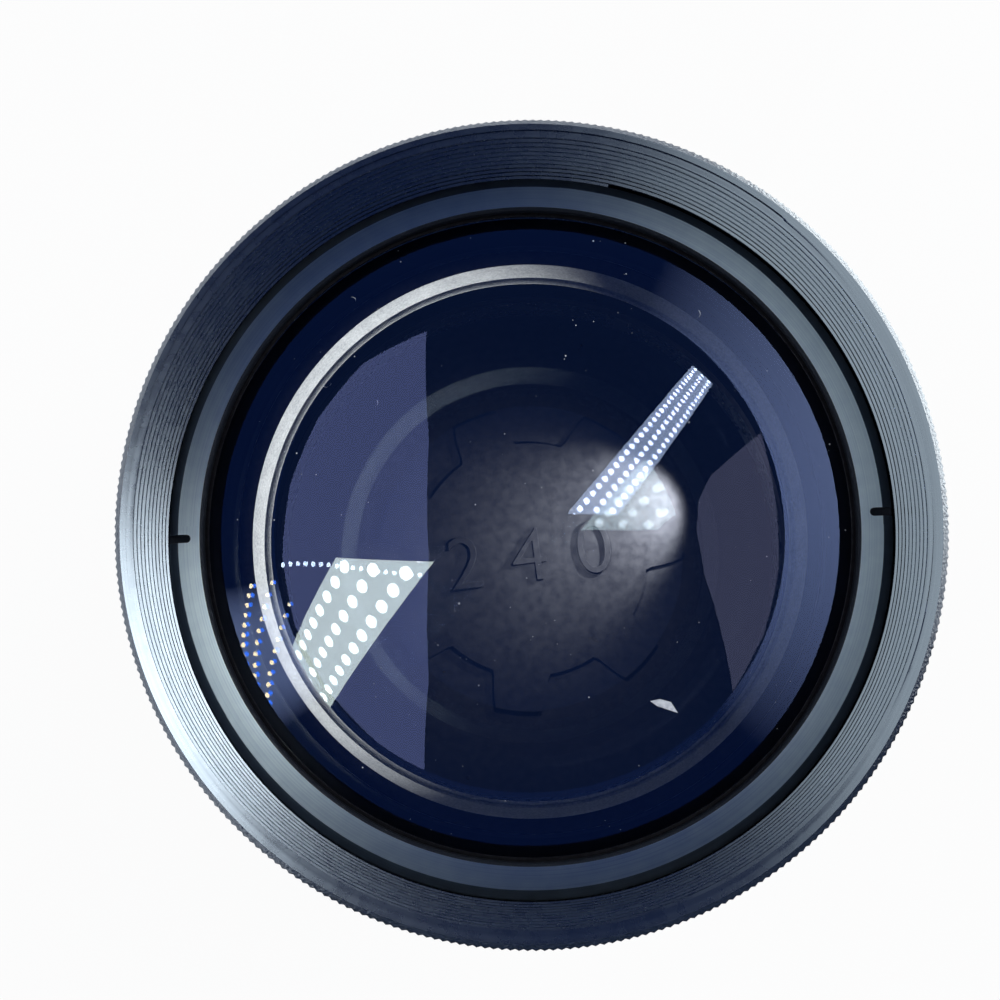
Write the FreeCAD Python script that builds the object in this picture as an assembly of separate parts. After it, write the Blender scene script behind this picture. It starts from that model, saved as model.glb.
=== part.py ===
"""Afocal tele converter lens with an M58 rear thread, standing on its rear cap.

Millimetres. The optical axis is +Z and points to the front (scene) side.
The origin is the middle of the rear cap's outer face, which rests on the table.
"""
import FreeCAD, Part
import math
import os

from FreeCAD import Vector

# Driving dimensions: the two threads, both M58 x 0.75
thread_radius = 29.0         # over the male thread
thread_depth = 0.4           # from there to the crest of the female thread

# Clearances
slide_fit = 0.1              # glass and sleeve in their bores
glass_entry = 0.5            # front glass on its way in through the front thread
cap_clearance = 0.3          # rear cap round and below what it covers
cap_end_gap = 0.8            # rear cap's floor to the end of the thread

# Front shell
rim_wall = 1.4               # front thread's crest to the outside of the knurled rim
rim_height = 7.5             # knurled band
rim_chamfer = 0.64           # knurled edge of the rim
rim_lead_in = 0.4            # chamfer into the front thread
rim_groove_height = 0.7
rim_groove_depth = 0.5
neck_step = 0.6              # knurled band to the plain barrel below it
neck_height = 3.5
waist_step = 0.6             # plain barrel to the waist at the joint
relief_depth = 0.4           # run-out groove below the front thread
relief_height = 1.0
seat_width = 2.7             # shoulder under the edge of the front glass
seat_web = 1.6

# Front retaining ring
ring_recess = 7.5            # front rim to the ring's face
ring_cover = 2.6             # reach of the ring over the edge of the glass
ring_lip = 0.9               # height of the ring at its bore
ring_inner_bevel_width = 0.45
ring_inner_bevel_depth = 0.55
ring_bevel_width = 0.95
ring_bevel_depth = 0.7
notch_width = 0.65
notch_depth = 0.9
notch_length = 1.95          # from the thread's crest inwards
notch_angle = 2.1            # the two notches lie on one line, a little off the X axis

# Front washer and front cemented pair
washer_thickness = 0.25
front_curve = 54.0           # convex front surface
front_cement_curve = 130.0   # convex towards the rear
front_back_curve = 160.0     # weakly convex rear surface
crown_edge = 1.6
flint_middle = 2.4

# Barrel joint
joint_length = 4.4
joint_shell_wall = 1.8       # front shell outside the joint thread
joint_wall = 0.9             # rear barrel inside the joint thread

# Baffle sleeve
sleeve_length = 3.63         # with this the converter is 45 mm long over its rear cap
sleeve_ledge = 0.35          # top of the sleeve outside its stepped bore
sleeve_ridges = 5
sleeve_ridge_depth = 0.3

# Rear cell and rear cemented pair
rear_glass_inset = 6.7       # barrel joint's thread to the edge of the rear glass
rear_front_curve = 70.0      # concave
rear_cement_curve = 55.0     # convex towards the front
rear_back_curve = 52.0       # concave
concave_middle = 1.2
meniscus_middle = 1.8
rear_washer_thickness = 0.25
cell_lip = 1.2               # height of the shoulder that the rear glass rests on
cell_shoulder = 1.5          # its reach under the edge of the glass
tail_height = 4.0            # straight flange at the rear end of the barrel

# Rear retaining ring
funnel_cover = 1.0           # reach of the ring over the edge of the rear glass
funnel_slope = 2.5           # width of its sloping face
funnel_height = 2.4
funnel_land = 0.5            # short straight bore under the slope
funnel_rim = 0.3             # flat width outside the slope

# Mount ring
mount_thread_length = 5.0
mount_thread_wall = 2.2
mount_web = 2.0
mount_flange = 1.0           # step from the rear thread out to the flange
mount_lead_chamfer = 0.45
mount_edge_chamfer = 0.35
spigot_height = 0.8
spigot_wall = 1.4

# Mount screws and barrel grub screws
screw_count = 4
screw_start = 45.0           # angle of the first mount screw
screw_radius = 0.8
screw_head_radius = 1.5
screw_head_height = 0.9
screw_length = 4.4
screw_slot_width = 0.45
screw_slot_depth = 0.4
grub_count = 3
grub_start = 90.0            # angle of the first grub screw
grub_radius = 0.8
grub_socket_radius = 0.4
grub_socket_depth = 0.6

# Rear cap
cap_floor = 2.0
cap_wall = 1.6
cap_rib_count = 60
cap_rib_height = 0.4
cap_rib_width = 1.4
cap_edge_chamfer = 0.7
cap_foot_width = 3.7         # flat foot ring outside the recess in the face of the cap
cap_foot_recess = 0.5


def sag(curve, radius):
    """Depth of a spherical surface of that curve at that radius."""
    return curve - math.sqrt(curve * curve - radius * radius)


# Radii that follow, front
front_thread_radius = thread_radius - thread_depth
rim_radius = front_thread_radius + rim_wall
neck_radius = rim_radius - neck_step
waist_radius = neck_radius - waist_step
joint_radius = waist_radius - joint_shell_wall
front_glass_radius = front_thread_radius - glass_entry
seat_radius = front_glass_radius - seat_width
ring_bore_radius = front_glass_radius - ring_cover

# Radii that follow, rear
rear_glass_radius = joint_radius - rear_glass_inset
tail_radius = thread_radius + mount_flange
thread_well_radius = thread_radius - mount_thread_wall
mount_bore_radius = rear_glass_radius - cell_shoulder
spigot_radius = mount_bore_radius + spigot_wall
screw_circle_radius = (spigot_radius + thread_well_radius) / 2
funnel_bore_radius = rear_glass_radius - funnel_cover
funnel_radius = funnel_bore_radius + funnel_slope
funnel_outer_radius = funnel_radius + funnel_rim

# Sags of the polished surfaces at the edge of their glass
front_sag = sag(front_curve, front_glass_radius)
front_cement_sag = sag(front_cement_curve, front_glass_radius)
front_back_sag = sag(front_back_curve, front_glass_radius)
rear_front_sag = sag(rear_front_curve, rear_glass_radius)
rear_cement_sag = sag(rear_cement_curve, rear_glass_radius)
rear_back_sag = sag(rear_back_curve, rear_glass_radius)

# Heights that follow, from the table up: cap and mount ring
mount_bottom = cap_floor + cap_end_gap
mount_web_bottom = mount_bottom + mount_thread_length
cap_height = mount_web_bottom - cap_clearance
barrel_bottom = mount_web_bottom + mount_web

# Rear group and its cell
cell_floor = barrel_bottom + spigot_height + cell_lip
rear_back_middle = cell_floor + rear_back_sag
rear_cement_middle = rear_back_middle + meniscus_middle
rear_vertex = rear_cement_middle + concave_middle
rear_glass_top = rear_vertex + rear_front_sag
funnel_bottom = rear_glass_top + rear_washer_thickness
funnel_top = funnel_bottom + funnel_height

# Barrel joint and front group
joint_top = funnel_top + sleeve_length
joint_bottom = joint_top - joint_length
seat_height = joint_top + seat_web
front_back_middle = seat_height - sag(front_back_curve, seat_radius)
front_glass_bottom = front_back_middle + front_back_sag
front_cement_middle = front_back_middle + flint_middle
front_glass_middle_edge = front_cement_middle + front_cement_sag
front_glass_top = front_glass_middle_edge + crown_edge
front_vertex = front_glass_top + front_sag

# Ring and rim
ring_bottom = front_glass_top + washer_thickness
ring_lip_bottom = front_vertex - sag(front_curve, ring_bore_radius) + washer_thickness
ring_top = ring_lip_bottom + ring_lip
body_length = ring_top + ring_recess


def turned(points):
    """Solid turned about Z from a closed outline of (radius, height) points."""
    corners = [Vector(radius, 0, height) for radius, height in points]
    outline = Part.makePolygon(corners + [corners[0]])
    return Part.Face(outline).revolve(Vector(0, 0, 0), Vector(0, 0, 1), 360)


def surface_arc(middle_height, edge):
    """Meridian of a spherical surface in the XZ plane, from its middle to its edge."""
    drop = middle_height - edge.z
    curve = (edge.x ** 2 + drop ** 2) / (2 * drop)
    half = edge.x / 2
    half_drop = curve - math.copysign(math.sqrt(curve ** 2 - half ** 2), curve)
    return Part.Arc(Vector(0, 0, middle_height), Vector(half, 0, middle_height - half_drop), edge).toShape()


def lens(radius, front_middle, front_edge_height, back_middle, back_edge_height):
    """Glass disc between two spherical surfaces, given by the heights of their middles and edges."""
    front_edge = Vector(radius, 0, front_edge_height)
    back_edge = Vector(radius, 0, back_edge_height)
    outline = Part.Wire([
        surface_arc(front_middle, front_edge),
        Part.LineSegment(front_edge, back_edge).toShape(),
        surface_arc(back_middle, back_edge),
        Part.LineSegment(Vector(0, 0, back_middle), Vector(0, 0, front_middle)).toShape(),
    ])
    return Part.Face(outline).revolve(Vector(0, 0, 0), Vector(0, 0, 1), 360)


def around(shape, count, start=0.0):
    """Copies of a shape spaced evenly about Z."""
    copies = []
    for index in range(count):
        copy = shape.copy()
        copy.rotate(Vector(0, 0, 0), Vector(0, 0, 1), start + 360 * index / count)
        copies.append(copy)
    return copies


def front_shell():
    """Knurled rim with the M58 thread inside, the seat of the front glass and a short skirt."""
    face_inner = front_thread_radius + rim_lead_in
    groove_radius = neck_radius - rim_groove_depth
    rim_bottom = body_length - rim_height
    shell = turned([
        (joint_radius, joint_bottom),
        (waist_radius, joint_bottom),
        (neck_radius, rim_bottom - neck_height),
        (neck_radius, rim_bottom - rim_groove_height),
        (groove_radius, rim_bottom - rim_groove_height),
        (groove_radius, rim_bottom),
        (rim_radius - rim_chamfer, rim_bottom),
        (rim_radius, rim_bottom + rim_chamfer),
        (rim_radius, body_length - rim_chamfer),
        (rim_radius - rim_chamfer, body_length),
        (face_inner, body_length),
        (front_thread_radius, body_length - rim_lead_in),
        (front_thread_radius, front_glass_top),
        (front_thread_radius + relief_depth, front_glass_top),
        (front_thread_radius + relief_depth, front_glass_top - relief_height),
        (front_glass_radius + slide_fit, front_glass_top - relief_height),
        (front_glass_radius + slide_fit, seat_height),
        (seat_radius, seat_height),
        (seat_radius, joint_top),
        (joint_radius, joint_top),
    ])
    hole_start = joint_radius - joint_wall
    hole = Part.makeCylinder(grub_radius, rim_radius - hole_start, Vector(hole_start, 0, grub_height()),
                             Vector(1, 0, 0))
    for cutter in around(hole, grub_count, grub_start):
        shell = shell.cut(cutter)
    return shell


def front_retaining_ring():
    """Threaded ring with two spanner notches that holds the front glass down."""
    ring = turned([
        (ring_bore_radius, ring_lip_bottom),
        (front_glass_radius, ring_bottom),
        (front_thread_radius, ring_bottom),
        (front_thread_radius, ring_top - ring_bevel_depth),
        (front_thread_radius - ring_bevel_width, ring_top),
        (ring_bore_radius + ring_inner_bevel_width, ring_top),
        (ring_bore_radius, ring_top - ring_inner_bevel_depth),
    ])
    round_end = notch_width / 2
    slot_start = front_thread_radius - notch_length + round_end
    slot_floor = ring_top - notch_depth
    slot = Part.makeBox(rim_radius - slot_start, notch_width, notch_depth,
                        Vector(slot_start, -round_end, slot_floor))
    slot = slot.fuse(Part.makeCylinder(round_end, notch_depth, Vector(slot_start, 0, slot_floor)))
    for cutter in around(slot, 2, notch_angle):
        ring = ring.cut(cutter)
    return ring


def front_washer():
    """Thin black slip washer between the ring's sloping underside and the glass."""
    washer = turned([
        (ring_bore_radius, front_glass_top),
        (front_glass_radius, front_glass_top),
        (front_glass_radius, ring_bottom),
        (ring_bore_radius, ring_lip_bottom),
    ])
    return washer.cut(front_crown_lens())


def front_crown_lens():
    """Large biconvex front element."""
    return lens(front_glass_radius, front_vertex, front_glass_top,
                front_cement_middle, front_glass_middle_edge)


def front_flint_lens():
    """Element cemented to the back of the front one."""
    return lens(front_glass_radius, front_cement_middle, front_glass_middle_edge,
                front_back_middle, front_glass_bottom)


def baffle_sleeve():
    """Blackened sleeve whose stepped bore traps stray light between the two groups."""
    outer = joint_radius - joint_wall - slide_fit
    top_radius = outer - sleeve_ledge
    points = [(outer, funnel_top), (outer, joint_top)]
    for index in range(sleeve_ridges):
        crest = top_radius + (funnel_radius - top_radius) * index / sleeve_ridges
        upper = joint_top + (funnel_top - joint_top) * index / sleeve_ridges
        lower = joint_top + (funnel_top - joint_top) * (index + 1) / sleeve_ridges
        points.append((crest, upper))
        points.append((crest + sleeve_ridge_depth, lower))
    return turned(points)


def rear_barrel():
    """Rear half of the housing: cell of the rear glass, joint thread and flared tail."""
    cell_radius = rear_glass_radius + slide_fit
    sleeve_bore = joint_radius - joint_wall
    barrel = turned([
        (spigot_radius, barrel_bottom),
        (tail_radius, barrel_bottom),
        (tail_radius, barrel_bottom + tail_height),
        (waist_radius, joint_bottom - tail_height),
        (waist_radius, joint_bottom),
        (joint_radius, joint_bottom),
        (joint_radius, joint_top),
        (sleeve_bore, joint_top),
        (sleeve_bore, funnel_top),
        (funnel_outer_radius, funnel_top),
        (funnel_outer_radius, rear_glass_top),
        (cell_radius, rear_glass_top),
        (cell_radius, cell_floor),
        (mount_bore_radius, cell_floor),
        (mount_bore_radius, cell_floor - cell_lip),
        (spigot_radius, cell_floor - cell_lip),
    ])
    for cutter in around(screw_blank(), screw_count, screw_start) + around(grub_blank(), grub_count, grub_start):
        barrel = barrel.cut(cutter)
    return barrel


def rear_retaining_ring():
    """Grey ring with a sloping front face that holds the rear glass."""
    return turned([
        (funnel_bore_radius, funnel_bottom),
        (funnel_outer_radius, funnel_bottom),
        (funnel_outer_radius, funnel_top),
        (funnel_radius, funnel_top),
        (funnel_bore_radius, funnel_bottom + funnel_land),
    ])


def rear_washer():
    """Thin washer between the rear glass and its retaining ring."""
    return turned([
        (funnel_bore_radius, rear_glass_top),
        (funnel_radius, rear_glass_top),
        (funnel_radius, funnel_bottom),
        (funnel_bore_radius, funnel_bottom),
    ])


def rear_concave_lens():
    """Biconcave front half of the rear cemented pair."""
    return lens(rear_glass_radius, rear_vertex, rear_glass_top,
                rear_cement_middle, rear_cement_middle - rear_cement_sag)


def rear_meniscus_lens():
    """Meniscus that closes the rear cemented pair."""
    return lens(rear_glass_radius, rear_cement_middle, rear_cement_middle - rear_cement_sag,
                rear_back_middle, cell_floor)


def rear_mount_ring():
    """Rear ring with the M58 male thread, screwed to the barrel from behind."""
    ring = turned([
        (thread_well_radius, mount_bottom),
        (thread_radius - mount_lead_chamfer, mount_bottom),
        (thread_radius, mount_bottom + mount_lead_chamfer),
        (thread_radius, mount_web_bottom),
        (tail_radius - mount_edge_chamfer, mount_web_bottom),
        (tail_radius, mount_web_bottom + mount_edge_chamfer),
        (tail_radius, barrel_bottom),
        (spigot_radius, barrel_bottom),
        (spigot_radius, barrel_bottom + spigot_height),
        (mount_bore_radius, barrel_bottom + spigot_height),
        (mount_bore_radius, mount_web_bottom),
        (thread_well_radius, mount_web_bottom),
    ])
    for cutter in around(screw_blank(), screw_count, screw_start):
        ring = ring.cut(cutter)
    return ring


def screw_blank():
    """Countersunk screw without its slot, head flush with the web's rear face."""
    foot = Vector(screw_circle_radius, 0, mount_web_bottom)
    shank = Part.makeCylinder(screw_radius, screw_length, foot)
    head = Part.makeCone(screw_head_radius, screw_radius, screw_head_height, foot)
    return shank.fuse(head).removeSplitter()


def mount_screws():
    """Countersunk screws that hold the mount ring on the rear barrel."""
    slot_length = 3 * screw_head_radius
    slot = Part.makeBox(slot_length, screw_slot_width, screw_slot_depth,
                        Vector(screw_circle_radius - slot_length / 2, -screw_slot_width / 2, mount_web_bottom))
    return Part.makeCompound(around(screw_blank().cut(slot), screw_count, screw_start))


def grub_height():
    """Height of the grub screws' axes, half way up the joint thread."""
    return joint_bottom + joint_length / 2


def grub_blank():
    """Grub screw without its socket, from the outside of the waist into the joint thread."""
    inner_end = joint_radius - joint_wall / 2
    return Part.makeCylinder(grub_radius, waist_radius - inner_end, Vector(inner_end, 0, grub_height()),
                             Vector(1, 0, 0))


def barrel_grub_screws():
    """Socket grub screws that lock the joint thread."""
    socket = Part.makeCylinder(grub_socket_radius, grub_socket_depth,
                               Vector(waist_radius - grub_socket_depth, 0, grub_height()), Vector(1, 0, 0))
    return Part.makeCompound(around(grub_blank().cut(socket), grub_count, grub_start))


def cap_rib(skirt_radius, root_radius):
    """One rounded grip rib of the cap, rooted inside its skirt."""
    half = cap_rib_width / 2
    foot = cap_edge_chamfer
    edge = math.sqrt(skirt_radius ** 2 - half ** 2)
    left = Vector(edge, half, foot)
    right = Vector(edge, -half, foot)
    inner_left = Vector(root_radius, half, foot)
    inner_right = Vector(root_radius, -half, foot)
    outline = Part.Wire([
        Part.Arc(right, Vector(skirt_radius + cap_rib_height, 0, foot), left).toShape(),
        Part.LineSegment(left, inner_left).toShape(),
        Part.LineSegment(inner_left, inner_right).toShape(),
        Part.LineSegment(inner_right, right).toShape(),
    ])
    return Part.Face(outline).extrude(Vector(0, 0, cap_height - 2 * cap_edge_chamfer))


def rear_cap():
    """Moulded plastic cap with a ribbed skirt over the M58 thread."""
    bore = thread_radius + cap_clearance
    skirt = bore + cap_wall
    foot_radius = skirt - cap_edge_chamfer - cap_foot_width
    cap = turned([
        (0, cap_foot_recess),
        (foot_radius - cap_foot_recess, cap_foot_recess),
        (foot_radius, 0),
        (skirt - cap_edge_chamfer, 0),
        (skirt, cap_edge_chamfer),
        (skirt, cap_height),
        (bore, cap_height),
        (bore, cap_floor),
        (0, cap_floor),
    ])
    rib = cap_rib(skirt, bore + cap_wall / 2)
    return cap.fuse(around(rib, cap_rib_count)).removeSplitter()


parts = {
    "front_shell": front_shell,
    "front_retaining_ring": front_retaining_ring,
    "front_washer": front_washer,
    "front_crown_lens": front_crown_lens,
    "front_flint_lens": front_flint_lens,
    "baffle_sleeve": baffle_sleeve,
    "rear_barrel": rear_barrel,
    "rear_retaining_ring": rear_retaining_ring,
    "rear_washer": rear_washer,
    "rear_concave_lens": rear_concave_lens,
    "rear_meniscus_lens": rear_meniscus_lens,
    "rear_mount_ring": rear_mount_ring,
    "mount_screws": mount_screws,
    "barrel_grub_screws": barrel_grub_screws,
    "rear_cap": rear_cap,
}

os.makedirs("parts", exist_ok=True)
for name, make in parts.items():
    shape = make()
    box = shape.BoundBox
    print(f"{name}: valid {shape.isValid()}, solids {len(shape.Solids)}, volume {shape.Volume:.1f}, "
          f"z {box.ZMin:.2f} to {box.ZMax:.2f}, x to {box.XMax:.2f}")
    shape.exportStep(f"parts/{name}.step")
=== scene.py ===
"""Looks of a tele converter lens: a turned black housing, two coated glass groups and a moulded rear cap."""

import math
import random

import bmesh
import bpy
from mathutils import Matrix, Vector


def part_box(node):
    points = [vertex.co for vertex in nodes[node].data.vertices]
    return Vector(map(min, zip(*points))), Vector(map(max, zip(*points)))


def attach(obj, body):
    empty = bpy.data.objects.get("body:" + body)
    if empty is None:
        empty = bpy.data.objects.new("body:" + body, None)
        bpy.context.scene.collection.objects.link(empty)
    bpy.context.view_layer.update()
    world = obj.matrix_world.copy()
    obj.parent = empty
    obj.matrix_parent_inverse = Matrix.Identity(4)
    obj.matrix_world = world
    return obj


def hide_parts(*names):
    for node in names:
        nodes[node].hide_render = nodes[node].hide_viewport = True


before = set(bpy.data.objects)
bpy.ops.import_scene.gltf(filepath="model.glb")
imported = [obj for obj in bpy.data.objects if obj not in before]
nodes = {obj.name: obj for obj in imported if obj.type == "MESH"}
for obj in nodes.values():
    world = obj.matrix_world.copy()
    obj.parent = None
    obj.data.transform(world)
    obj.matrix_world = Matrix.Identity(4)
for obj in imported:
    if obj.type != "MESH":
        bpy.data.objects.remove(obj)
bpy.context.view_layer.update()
mm = 0.001


# Rear barrel
# The rear half of the housing, turned from aluminium bar and dyed black. Its bore is blasted matt so that it
# doesn't shine through the glass. It screws into the front shell and carries the cell of the rear glass.

class Signal:
    """A value on its way through a finish. Arithmetic on it adds Math nodes."""

    def __init__(self, finish, socket):
        self.finish = finish
        self.socket = socket

    def maths(self, operation, *values):
        return self.finish.node("Math", {"operation": operation}, dict(enumerate(values)))

    def __add__(self, other):
        return self.maths("ADD", self, other)

    __radd__ = __add__

    def __sub__(self, other):
        return self.maths("SUBTRACT", self, other)

    def __rsub__(self, other):
        return self.maths("SUBTRACT", other, self)

    def __mul__(self, other):
        return self.maths("MULTIPLY", self, other)

    __rmul__ = __mul__

    def __pow__(self, other):
        return self.maths("POWER", self, other)


class Wiring:
    """Shader nodes being wired up: those of a finish, a lamp or the room."""

    def __init__(self, tree):
        self.tree = tree

    def node(self, kind, settings=None, inputs=None, output=0):
        """The output of a new node, after its settings and then its sockets are given."""
        made = self.tree.nodes.new("ShaderNode" + kind)
        for name, value in (settings or {}).items():
            if name == "stops":
                self.set_stops(made.color_ramp, value)
            else:
                setattr(made, name, value)
        for key, value in (inputs or {}).items():
            self.put(value, made.inputs[key])
        return Signal(self, made.outputs[output])

    def set_stops(self, ramp, stops):
        while len(ramp.elements) < len(stops):
            ramp.elements.new(1.0)
        for element, (position, colour) in zip(ramp.elements, stops):
            element.position = position
            element.color = (*colour, 1.0)

    def put(self, value, socket):
        if isinstance(value, Signal):
            self.tree.links.new(value.socket, socket)
        else:
            socket.default_value = value

    def span(self, value, low, high, new_low=0.0, new_high=1.0):
        """The value carried from one range to another, and held at its ends."""
        inputs = {"Value": value, "From Min": low, "From Max": high, "To Min": new_low, "To Max": new_high}
        return self.node("MapRange", {}, inputs)


class Finish(Wiring):
    """A material: its nodes, and the shader whose sockets they feed."""

    def __init__(self, name, **constants):
        self.material = bpy.data.materials.new(name)
        self.material.use_nodes = True
        super().__init__(self.material.node_tree)
        self.shader = self.tree.nodes["Principled BSDF"]
        for socket, value in constants.items():
            self.shader.inputs[socket.replace("_", " ")].default_value = value

    def feed(self, socket, value):
        self.put(value, self.shader.inputs[socket])

    def place(self):
        """The point on the piece, in metres."""
        return self.node("TexCoord", output="Object")

    def along(self, axis):
        """The distance along one axis, in metres."""
        return self.node("SeparateXYZ", {}, {"Vector": self.place()}, axis)

    def noise(self, scale, detail=3.0, place=None):
        """Even noise from 0 to 1. The scale is in grains per metre."""
        inputs = {"Vector": place or self.place(), "Scale": scale, "Detail": detail}
        return self.node("TexNoise", {}, inputs)

    def ramp(self, value, stops):
        return self.node("ValToRGB", {"stops": stops}, {"Fac": value})

    def lathe_lines(self, pitch):
        """Noise in rings about the axis: the marks that a lathe tool leaves, one pitch apart."""
        x, y, z = (self.along(axis) for axis in "XYZ")
        radius = (x * x + y * y) ** 0.5
        angle = self.node("Math", {"operation": "ARCTAN2"}, {0: y, 1: x})
        lines = self.node("CombineXYZ", {}, {"X": radius, "Y": angle * (0.6 * pitch), "Z": z})
        return self.noise(1 / pitch, 2.0, lines)

    def bumps(self, height, depth):
        """Relief of a height signal, with a depth in metres."""
        return self.node("Bump", {}, {"Height": height, "Distance": depth, "Strength": 1.0})

    def show(self, shader):
        """Puts another shader in the place of the usual one."""
        self.tree.links.new(shader.socket, self.tree.nodes["Material Output"].inputs["Surface"])


def dress(piece, *finishes):
    """Gives a piece its finishes, in the order of its material slots."""
    if piece.data.materials:
        piece.data.materials.clear()
    for finish in finishes:
        piece.data.materials.append(finish.material)
    return piece


def paint(piece, slot, chosen):
    """Gives the chosen faces of a piece another of its finishes."""
    for face in piece.data.polygons:
        if chosen(face):
            face.material_index = slot


def dyed_aluminium(name, grey, roughness, tool_pitch, tool_depth, grooved=0.0):
    """Turned aluminium, dyed black and sealed. It shines across the grooves that the lathe tool leaves."""
    finish = Finish(name, Metallic=1.0, Anisotropic=grooved, Anisotropic_Rotation=0.25)
    lines = finish.lathe_lines(tool_pitch)
    haze = finish.noise(900.0, 4.0)
    dark = tuple(0.85 * shade for shade in grey)
    light = tuple(min(1.0, 1.12 * shade) for shade in grey)
    finish.feed("Base Color", finish.ramp(lines * 0.7 + haze * 0.3, [(0.3, dark), (0.7, light)]))
    finish.feed("Roughness", finish.span(haze, 0.3, 0.7, roughness - 0.02, roughness + 0.03))
    finish.feed("Normal", finish.bumps(lines, tool_depth))
    return finish


barrel_black = dyed_aluminium("barrel black", (0.030, 0.032, 0.038), 0.42, 0.25 * mm, 0.006 * mm)
dress(nodes["rear_barrel"], barrel_black)


# Rear glass
# A biconcave element and a meniscus, polished, coated and cemented into one body. The edge is inked black so
# that no light comes in through it. It lies on the shoulder of its cell.

def sag(curve, radius):
    """Depth of a spherical surface of that curve at that radius."""
    return curve - math.sqrt(curve * curve - radius * radius)


def meridian(curve, radius, middle, steps=40):
    """Points (radius, height) on a spherical surface, from its middle to its edge. A negative curve rises."""
    points = []
    for step in range(steps + 1):
        out = radius * step / steps
        points.append((out, middle - math.copysign(sag(abs(curve), out), curve)))
    return points


def mark_sharp(bm, limit=math.radians(25)):
    """Shades every face smooth and keeps a hard edge where two faces meet at more than the limit."""
    for face in bm.faces:
        face.smooth = True
    for edge in bm.edges:
        edge.smooth = len(edge.link_faces) == 2 and edge.calc_face_angle(0.0) < limit


def piece_from(bm, name):
    """A new object whose place is in its mesh."""
    mesh = bpy.data.meshes.new(name)
    bm.to_mesh(mesh)
    bm.free()
    piece = bpy.data.objects.new(name, mesh)
    bpy.context.scene.collection.objects.link(piece)
    return piece


def spun(outline, steps, ease=0.0):
    """Mesh turned about Z from a closed outline of (radius, height). Its corners are rounded by the ease."""
    bm = bmesh.new()
    corners = [bm.verts.new((radius, 0, height)) for radius, height in outline]
    face = bm.faces.new(corners)
    if ease:
        bmesh.ops.bevel(bm, geom=[v for v in corners if v.co.x > 1e-9], offset=ease, segments=3, profile=0.5,
                        affect="VERTICES", offset_type="OFFSET", material=-1)
        face = bm.faces[:][0]
    bmesh.ops.delete(bm, geom=[face], context="FACES_ONLY")
    on_axis = [e for e in bm.edges if max(abs(v.co.x) for v in e.verts) < 1e-9]
    bmesh.ops.delete(bm, geom=on_axis, context="EDGES")
    bmesh.ops.spin(bm, geom=bm.verts[:] + bm.edges[:], cent=(0, 0, 0), axis=(0, 0, 1),
                   angle=2 * math.pi, steps=steps, use_merge=True)
    bmesh.ops.remove_doubles(bm, verts=bm.verts, dist=1e-8)
    bmesh.ops.recalc_face_normals(bm, faces=bm.faces)
    mark_sharp(bm)
    return bm


def coated_glass(name, ior, reflection, shine=0.0):
    """Polished optical glass. The coating leaves only a weak reflection of its own colour, unless it shines."""
    finish = Finish(name, Transmission_Weight=1.0, IOR=ior, Specular_Tint=(*reflection, 1.0),
                    Coat_Weight=shine, Coat_IOR=2.0, Coat_Roughness=0.0)
    clear = [(0.3, (0.93, 0.97, 1.0)), (0.7, (0.95, 0.98, 1.0))]
    finish.feed("Base Color", finish.ramp(finish.noise(40.0), clear))
    finish.shader.inputs["Roughness"].default_value = 0.0
    return finish


def glass_body(name, radius, front, back, coats):
    """Glass between a front and a back surface, each given as (curve, middle height), with an inked edge."""
    top = meridian(front[0], radius, front[1])
    bottom = meridian(back[0], radius, back[1])
    bm = spun(top + bottom[::-1], 256)
    for face in bm.faces:
        if abs(face.normal.z) < 0.3:
            face.material_index = 2
        elif face.normal.z < 0:
            face.material_index = 1
    return dress(piece_from(bm, name), *coats)


def mottled(name, grain, dark, light, blotch, roughness, **constants):
    """A plain finish. Its colour varies with the grain and its roughness with the blotches, both per metre."""
    finish = Finish(name, **constants)
    finish.feed("Base Color", finish.ramp(finish.noise(grain), [(0.3, dark), (0.7, light)]))
    finish.feed("Roughness", finish.span(finish.noise(blotch), 0.3, 0.7, *roughness))
    return finish


ink = mottled("edge ink", 3000.0, (0.004, 0.004, 0.006), (0.012, 0.012, 0.016), 900.0, (0.5, 0.8),
              Specular_IOR_Level=0.2)

rear_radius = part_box("rear_concave_lens")[1].x
rear_front_curve = 220 * mm
rear_back_curve = 52 * mm
rear_front_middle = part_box("rear_concave_lens")[1].z - sag(rear_front_curve, rear_radius)
rear_back_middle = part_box("rear_meniscus_lens")[0].z + sag(rear_back_curve, rear_radius)
rear_glass = glass_body(
    "rear_glass", rear_radius, (-rear_front_curve, rear_front_middle), (rear_back_curve, rear_back_middle),
    (coated_glass("rear coating, front", 1.6, (0.8, 0.9, 1.0), 1.0),
     coated_glass("rear coating, back", 1.6, (0.6, 0.8, 1.0), 0.3), ink))
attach(rear_glass, "lens_body")
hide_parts("rear_concave_lens", "rear_meniscus_lens")


# Rear washer and rear retaining ring
# The ring is turned from aluminium and left in a matt grey. Its sloping face shows round the rear glass as a
# pale band. It screws down on a thin black film washer.

washer_black = mottled("washer film", 2500.0, (0.006, 0.006, 0.008), (0.014, 0.014, 0.018), 1200.0, (0.45, 0.65),
                       Specular_IOR_Level=0.3)
dress(nodes["rear_washer"], washer_black)

band_grey = Finish("matt grey ring", Specular_IOR_Level=0.4)
grain = band_grey.noise(5200.0, 4.0)
cloud = band_grey.noise(700.0, 3.0)
band_grey.feed("Base Color", band_grey.ramp(grain * 0.7 + cloud * 0.3,
                                            [(0.3, (0.26, 0.27, 0.28)), (0.7, (0.52, 0.53, 0.53))]))
band_grey.feed("Roughness", band_grey.span(cloud, 0.3, 0.7, 0.55, 0.7))
band_grey.feed("Normal", band_grey.bumps(grain, 0.03 * mm))

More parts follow.
